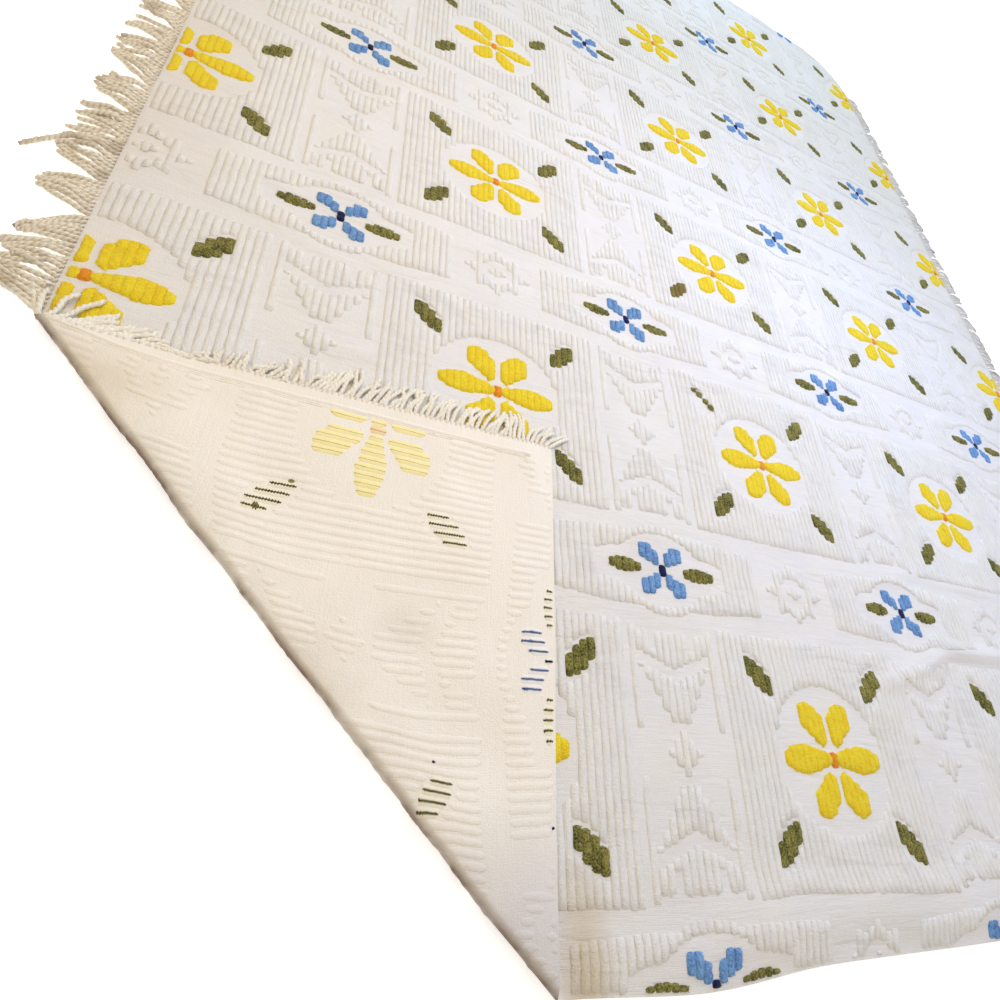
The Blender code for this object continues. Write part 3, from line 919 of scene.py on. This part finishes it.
def makeGround():
    mesh = bmesh.new()
    width, length = spread["width"], spread["length"]
    across, along = round(width / ground["cellAcross"]), round(length / ground["cellAlong"])
    place = Matrix.Translation((width / 2, length / 2, 0)) @ Matrix.Diagonal((width / 2, length / 2, 1, 1))
    bmesh.ops.create_grid(mesh, x_segments=across, y_segments=along, size=1.0, matrix=place)

    def cut(point, normal, trim):
        everything = mesh.verts[:] + mesh.edges[:] + mesh.faces[:]
        bmesh.ops.bisect_plane(mesh, geom=everything, dist=1e-6, plane_co=point, plane_no=normal,
                               clear_outer=trim)

    radius = spread["footCorner"]
    for side in (-1, 1):
        centre = Vector((width / 2 + side * (width / 2 - radius), length - radius, 0))
        for k in range(spread["cornerCuts"]):
            angle = math.radians(90) * (k + 0.5) / spread["cornerCuts"]
            outward = Vector((side * math.cos(angle), math.sin(angle), 0))
            cut(centre + outward * radius, outward, True)
    for vertex in mesh.verts:
        e, d = creaseFromFlat(vertex.co.x, vertex.co.y)
        vertex.co = (e, d, 0)
    # closer rows of vertices where the crease bends and where the turned layer comes down from it
    arc, bends, steps = fold["arc"], fold["arcSteps"], fold["settleSteps"]
    rows = [arc * k / bends for k in range(bends + 1)]
    rows += [arc + fold["settle"] * (k + 1) / steps for k in range(steps)]
    for d in rows:
        cut((0, d, 0), (0, 1, 0), False)
    mesh.verts.ensure_lookup_table()
    crease = np.array([vertex.co[:2] for vertex in mesh.verts])
    s, t = flatFromCrease(crease[:, 0], crease[:, 1])
    middle = ground["top"] - ground["thick"] / 2
    for vertex, point in zip(mesh.verts, laidPoints(s, t, middle)):
        vertex.co = point
    layer = mesh.loops.layers.uv.new("flat")
    for face in mesh.faces:
        for corner in face.loops:
            corner[layer].uv = (s[corner.vert.index], t[corner.vert.index])
    piece = fromMesh("spread_ground", mesh, [groundFinish, reverseFinish])
    piece.data.shade_smooth()
    solid = piece.modifiers.new("thickness", "SOLIDIFY")
    solid.thickness = ground["thick"]
    solid.offset = 0
    solid.material_offset = 1
    solid.material_offset_rim = 0
    sheet = bpy.data.meshes.new_from_object(piece.evaluated_get(bpy.context.evaluated_depsgraph_get()))
    sheet.set_sharp_from_angle(angle=math.radians(ground["sharpAngle"]))
    piece.modifiers.clear()
    piece.data = sheet
    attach(piece, "root")
    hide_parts("bedspread_cloth")
    return piece


def makeTufts():
    runs = tuftRuns()
    for kind in kinds[1:]:
        reach = sum(run[3] - run[2] for run in runs if run[0] == kind)
        print("runs of", kind, "tufts:", round(reach, 1), "m")
    pieces, top = [], ground["top"]
    whites = [run for run in runs if run[0] == "white"]
    total, share, bands = sum(run[3] - run[2] for run in whites), 0.0, [[], [], []]
    for run in whites:
        bands[min(int(3 * share / total), 2)].append(run)
        share += run[3] - run[2]
    for number, band in enumerate(bands, 1):
        pieces.append(stripMesh(f"tufts_white_{number}", tuftFinishes["white"], band, whiteTuft, top, 1))
    for kind in kinds[2:]:
        chosen = [run for run in runs if run[0] == kind]
        tuft = yellowTuft if kind in ("yellow", "orange") else smallTuft
        pieces.append(stripMesh(f"tufts_{kind}", tuftFinishes[kind], chosen, tuft, top, 1))
    # the same rows show on the turned corner's reverse as stitched lines on faint bands of their colour
    reverse = top - ground["thick"]
    for kind in kinds[1:]:
        chosen = turnedRuns([run for run in runs if run[0] == kind])
        if not chosen:
            continue
        band = tintBand if kind in tintFinishes else backBand
        tint = tintFinishes.get(kind, reverseFinish)
        pieces.append(stripMesh(f"reverse_bands_{kind}", tint, chosen, band, reverse, -1))
        stitch = stitchLine if kind in ("white", "yellow", "orange") else stitchBeads
        foot = reverse - reverseSide["whiteLift" if kind == "white" else "lift"]
        pieces.append(stripMesh(f"reverse_stitches_{kind}", stitchFinishes[kind], chosen, stitch, foot, -1))
    for number, knot in enumerate(knots, 1):
        stitch = dict(stitchBeads, halfWidth=stitchBeads["halfWidth"] * knot["wide"],
                      beads=reverseSide["knotBeads"])
        start, end = knot["q"] - knot["length"] / 2, knot["q"] + knot["length"] / 2
        run = (knot["kind"], knot["p"], start, end, 0.0, 0.0)
        name, foot = f"reverse_knot_{number}", reverse - reverseSide["knotLift"]
        pieces.append(stripMesh(name, tuftFinishes[knot["kind"]], [run], stitch, foot, -1))
    # on the reverse a low selvedge runs along both fringed edges, with two fine lines beside it
    first, last = reverseSide["selvedgeStart"], spread["length"] - spread["footCorner"]
    sides = (lambda at: at, lambda at: spread["width"] - at)
    rolls = [("white", side(reverseSide["selvedge"]), first, last, 0, 0) for side in sides]
    lines = [("white", side(at), first, last, 0, 0)
             for side in sides for at in reverseSide["selvedgeLines"]]
    pieces.append(stripMesh("reverse_selvedge", reverseFinish, rolls, selvedgeRoll, reverse, -1))
    white = stitchFinishes["white"]
    pieces.append(stripMesh("reverse_selvedge_lines", white, lines, selvedgeLine, reverse, -1))
    return pieces


groundPiece = makeGround()
print("ground weave made")
tuftPieces = makeTufts()
print("tufts made")

yarn = {
    "lobe": 0.0034,             # outer radius of the two plies
    "waist": 0.0023,
    "turn": 0.0125,             # length of one twist
    "rootShare": 0.6,           # thickness where it leaves the edge
    "tipShare": 0.7,
    "inset": 0.0036,            # how far inside the edge it starts
    "rootHeight": -0.0014,      # h of that place
    "jitter": 0.0008,           # unevenness of the roots' places
    "clumpLength": (0.92, 1.06),    # shares of the nominal length
    "strandLength": (0.84, 1.06),
    "wild": (0.18, 3.5),        # share of strands that stray more, and how much more
    "onCloth": 0.0048,          # top of the cloth under a strand
    "slack": 0.010,             # the turned corner's bend counts as cloth this far past its crease
    "landing": 0.40,            # share of its length over which a strand comes down
}
# degrees by which the turned fringe leans towards the hem: everywhere, more beyond a place, and more
# at its start
turnedLean = dict(least=24, more=26, moreFrom=0.28, moreOver=0.22, start=38, startOver=0.035)
leftEnd = fold["leg"] + 0.001
# A fringe's strands leave the edge at each pitch from first to last. They come in clumps of so many,
# each drawn (pull) towards a place beside its clump's middle (aim), and bow, curl and stray a little.
fringes = {
    "fringe_yarns_left": dict(
        node="fringe_left", finish=yarnLeftShaded, first=leftEnd, last=spread["length"] - spread["footCorner"],
        pitch=0.0066, length=0.0580, clump=(3, 10), pull=(0.35, 0.90), aim=0.010, bow=0.0038, curl=0.0034,
        loose=0.0034, pile=0.0080, thick=1.0, sides=6, rings=26, seed=11),
    "fringe_yarns_turned": dict(
        node="fringe_turned", finish=yarnPale, first=0.004, last=leftEnd,
        pitch=0.0066, length=0.0430, clump=(3, 9), pull=(0.05, 0.40), aim=0.006, bow=0.0040, curl=0.0030,
        loose=0.0020, pile=0.0018, thick=0.95, sides=6, rings=22, seed=12,
        # stretches of it are tucked under or lie out long
        shareAt=[0.28, 0.36, 0.42, 0.46, 0.50, 0.56], shares=[1.0, 0.66, 0.42, 0.45, 0.85, 1.30]),
    "fringe_yarns_right": dict(
        node="fringe_right", finish=yarnRight, first=0.004, last=spread["length"] - spread["footCorner"],
        pitch=0.0070, length=0.0420, clump=(4, 9), pull=(0.45, 0.85), aim=0.009, bow=0.0020, curl=0.0014,
        loose=0.0034, pile=0.0060, thick=0.95, sides=5, rings=11, seed=13),
}
# single strands that reach out beyond the rest of the left fringe
strays = [
    dict(at=0.880, length=0.088, swing=0.066, pile=0.004, rings=52),
    dict(at=0.781, length=0.056, swing=0.017, pile=0.004, rings=26),
]


def supportHeight(x, y):
    # top of what lies under a point, in the near left corner's coordinates
    onCloth = (x > 0) & (x < spread["width"]) & (y > 0) & (y < spread["length"])
    onCloth &= x + y > fold["leg"] - yarn["slack"]
    return np.where(onCloth, yarn["onCloth"], 0.0)


def strandRings(path, sides, thick):
    # twisted two-ply yarn round a path
    tangent = np.gradient(path, axis=0)
    tangent /= np.linalg.norm(tangent, axis=1)[:, None]
    side = np.cross(tangent, (0, 0, 1.0))
    side /= np.linalg.norm(side, axis=1)[:, None]
    up = np.cross(side, tangent)
    steps = np.concatenate([[0], np.cumsum(np.linalg.norm(np.diff(path, axis=0), axis=1))])
    angle = (np.arange(sides) + 0.5) * 2 * np.pi / sides
    turned = angle[None, :] + (2 * np.pi * steps / yarn["turn"] + random.uniform(0, 6))[:, None]
    radius = yarn["waist"] + (yarn["lobe"] - yarn["waist"]) * np.abs(np.cos(angle)) ** 0.8
    share = np.linspace(0, 1, len(path))
    taper = np.interp(share, [0, 0.12, 0.93, 1], [yarn["rootShare"], 1, 1, yarn["tipShare"]])
    across = np.cos(turned)[..., None] * side[:, None, :] + np.sin(turned)[..., None] * up[:, None, :]
    points = path[:, None, :] + thick * taper[:, None, None] * radius[None, :, None] * across
    # the first uv value, 1 on a ply's crest and 0 in the groove, lets the finish paint shade into the
    # grooves
    ply = np.broadcast_to(np.abs(np.cos(angle)), points.shape[:2])
    return points.reshape(-1, 3), np.stack([ply.ravel(), np.repeat(share, sides)], axis=1)


def strandFaces(rings, sides):
    ring, spot = np.meshgrid(np.arange(rings - 1), np.arange(sides), indexing="ij")
    here, following = (ring * sides + spot).ravel(), (ring * sides + (spot + 1) % sides).ravel()
    return np.stack([here, following, following + sides, here + sides], axis=1)


def strandPath(root, heading, swing, length, pile, fringe):
    # a strand from its root that swings along the edge and comes to rest on what is below
    share = np.linspace(0, 1, fringe["rings"])
    outward = np.array([math.cos(heading), math.sin(heading)])
    sideways = np.array([-outward[1], outward[0]])
    wave = math.pi * random.uniform(1.0, 3.2)
    curl = random.gauss(0, fringe["curl"]) * np.sin(wave * share) * share
    off = swing * share ** 1.5 + random.uniform(-0.4, 1) * fringe["bow"] * np.sin(np.pi * share) + curl
    flat = root[:2] + outward * (length * share)[:, None] + sideways * off[:, None]
    support = supportHeight(flat[:, 0] + spread["width"] / 2, flat[:, 1] + spread["length"] / 2)
    support = support + yarn["lobe"] + pile * np.sin(np.pi * share ** 0.7 * 0.8) ** 2
    z = root[2] + (support - root[2]) * smoothStep(share / yarn["landing"])
    return np.column_stack([flat, z])


def edgeRoot(s, t):
    point = laidPoints(s, t, yarn["rootHeight"])
    return np.array([point[0], point[1], max(point[2], yarn["lobe"] * yarn["rootShare"])])


def rootAndHeading(name, at):
    # where a strand leaves the edge, which way it goes, and which sideways way leads to greater t
    if name == "fringe_yarns_right":
        return edgeRoot(spread["width"] - yarn["inset"], at), 0.0, 1
    root = edgeRoot(yarn["inset"], at)
    if name == "fringe_yarns_left":
        return root, math.pi, -1
    past = min(max(creaseFromFlat(0.0, at)[1] / fold["arc"], 0), 1)
    more = float(smoothStep((at - turnedLean["moreFrom"]) / turnedLean["moreOver"]))
    begun = float(1 - smoothStep(at / turnedLean["startOver"]))
    lean = turnedLean["least"] + turnedLean["more"] * more + turnedLean["start"] * begun
    return root, math.pi - math.radians(90 + lean) * past, 1


def fringePiece(name, fringe):
    # strands in clumps, each drawn towards the middle of its clump
    random.seed(fringe["seed"])
    paths, at, (wildShare, wilder) = [], fringe["first"], yarn["wild"]
    while at < fringe["last"]:
        size = random.randint(*fringe["clump"])
        middle, aim = at + (size - 1) / 2 * fringe["pitch"], random.gauss(0, fringe["aim"])
        pull, reach = random.uniform(*fringe["pull"]), random.uniform(*yarn["clumpLength"])
        for _ in range(size):
            if at > fringe["last"]:
                break
            start = at + random.uniform(-yarn["jitter"], yarn["jitter"])
            root, heading, towards = rootAndHeading(name, start)
            loose = random.gauss(0, fringe["loose"] * (wilder if random.random() < wildShare else 1))
            swing = (aim - (start - middle) * pull + loose) * towards
            length = fringe["length"] * reach * random.uniform(*yarn["strandLength"])
            if "shares" in fringe:
                length *= np.interp(at, fringe["shareAt"], fringe["shares"])
            pile = random.uniform(0, fringe["pile"])
            paths.append(strandPath(root, heading, swing, length, pile, fringe))
            at += fringe["pitch"]
    if name == "fringe_yarns_left":
        for stray in strays:
            root, heading, _ = rootAndHeading(name, stray["at"])
            fine = dict(fringe, rings=stray["rings"])
            paths.append(strandPath(root, heading, stray["swing"], stray["length"], stray["pile"], fine))
    sides = fringe["sides"]
    starts = np.cumsum([0] + [len(path) * sides for path in paths])
    strands = [strandRings(path, sides, fringe["thick"]) for path in paths]
    points, plies = (np.concatenate(part) for part in zip(*strands))
    faces = np.concatenate([strandFaces(len(path), sides) + start for path, start in zip(paths, starts)])
    piece = newPiece(name, points, faces, fringe["finish"], plies)
    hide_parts(fringe["node"])
    print(name, "strands:", len(paths))
    return piece


fringePieces = [fringePiece(name, fringe) for name, fringe in fringes.items()]


# the floor lies just below the cloth, under the lowest ends of the yarns
floorBoard = {"size": 40.0, "height": -0.0010, "paint": (0.94, 0.94, 0.945), "glow": 0.55}


def makeFloor():
    finish = Finish("floor_paint", roughness=0.9)
    material = finish.done(Base_Color=floorBoard["paint"], Emission_Color=(1.0, 1.0, 1.0),
                           Emission_Strength=floorBoard["glow"])
    mesh = bmesh.new()
    bmesh.ops.create_grid(mesh, x_segments=1, y_segments=1, size=floorBoard["size"])
    floor = fromMesh("floor", mesh, [material])
    floor.location.z = floorBoard["height"]


# soft area lights: place, what they point at, size, power and tint
lights = {
    "lamp_left": dict(
        place=(-0.60, -0.30, 1.60), aim=(-0.45, -0.45, 0.0), size=0.8, power=9.5, tint=(1.0, 0.71, 0.29)),
    "window_side": dict(
        place=(1.40, 1.60, 2.00), aim=(0.20, 0.20, 0.0), size=1.4, power=15.6, tint=(0.59, 0.79, 1.0)),
    "window_far": dict(
        place=(0.05, 1.65, 1.10), aim=(0.15, 0.75, 0.0), size=0.8, power=9.6, tint=(0.46, 0.70, 1.0)),
    "window_near": dict(
        place=(0.25, -0.15, 1.10), aim=(0.35, -1.05, 0.0), size=0.8, power=9.8, tint=(0.40, 0.57, 1.0)),
}
worldLight = dict(tint=(1.0, 0.948, 0.852), strength=0.565)


def makeLights():
    for name, light in lights.items():
        data = bpy.data.lights.new(name, "AREA")
        data.shape = "SQUARE"
        data.size = light["size"]
        data.energy = light["power"]
        data.color = light["tint"]
        lamp = linked(name, data)
        lamp.location = light["place"]
        lamp.rotation_euler = (Vector(light["aim"]) - lamp.location).to_track_quat("-Z", "Y").to_euler()
    world = bpy.data.worlds.new("studio")
    bpy.context.scene.world = world
    world.use_nodes = True
    sky = world.node_tree.nodes["Background"]
    sky.inputs["Color"].default_value = (*worldLight["tint"], 1.0)
    sky.inputs["Strength"].default_value = worldLight["strength"]


camera = {
    "place": (-0.7451, -1.2353, 0.5849),
    "heading": 37.61,           # degrees from +Y towards +X
    "dip": 52.98,               # degrees below level
    "roll": 43.38,
    "lens": 21.355,
    "sensor": 36,
}


def makeCamera():
    heading, dip = math.radians(camera["heading"]), math.radians(camera["dip"])
    forward = Vector((math.sin(heading) * math.cos(dip), math.cos(heading) * math.cos(dip), -math.sin(dip)))
    level = forward.cross(Vector((0, 0, 1))).normalized()
    upright = level.cross(forward)
    roll = math.radians(camera["roll"])
    right = level * math.cos(roll) + upright * math.sin(roll)
    up = right.cross(forward)
    data = bpy.data.cameras.new("camera")
    data.sensor_width = camera["sensor"]
    data.lens = camera["lens"]
    view = linked("camera", data)
    turned = Matrix((right, up, -forward)).transposed().to_4x4()
    view.matrix_world = Matrix.Translation(camera["place"]) @ turned
    bpy.context.scene.camera = view


makeFloor()
makeLights()
makeCamera()
bpy.context.scene.view_settings.view_transform = "Standard"
print("stage made")
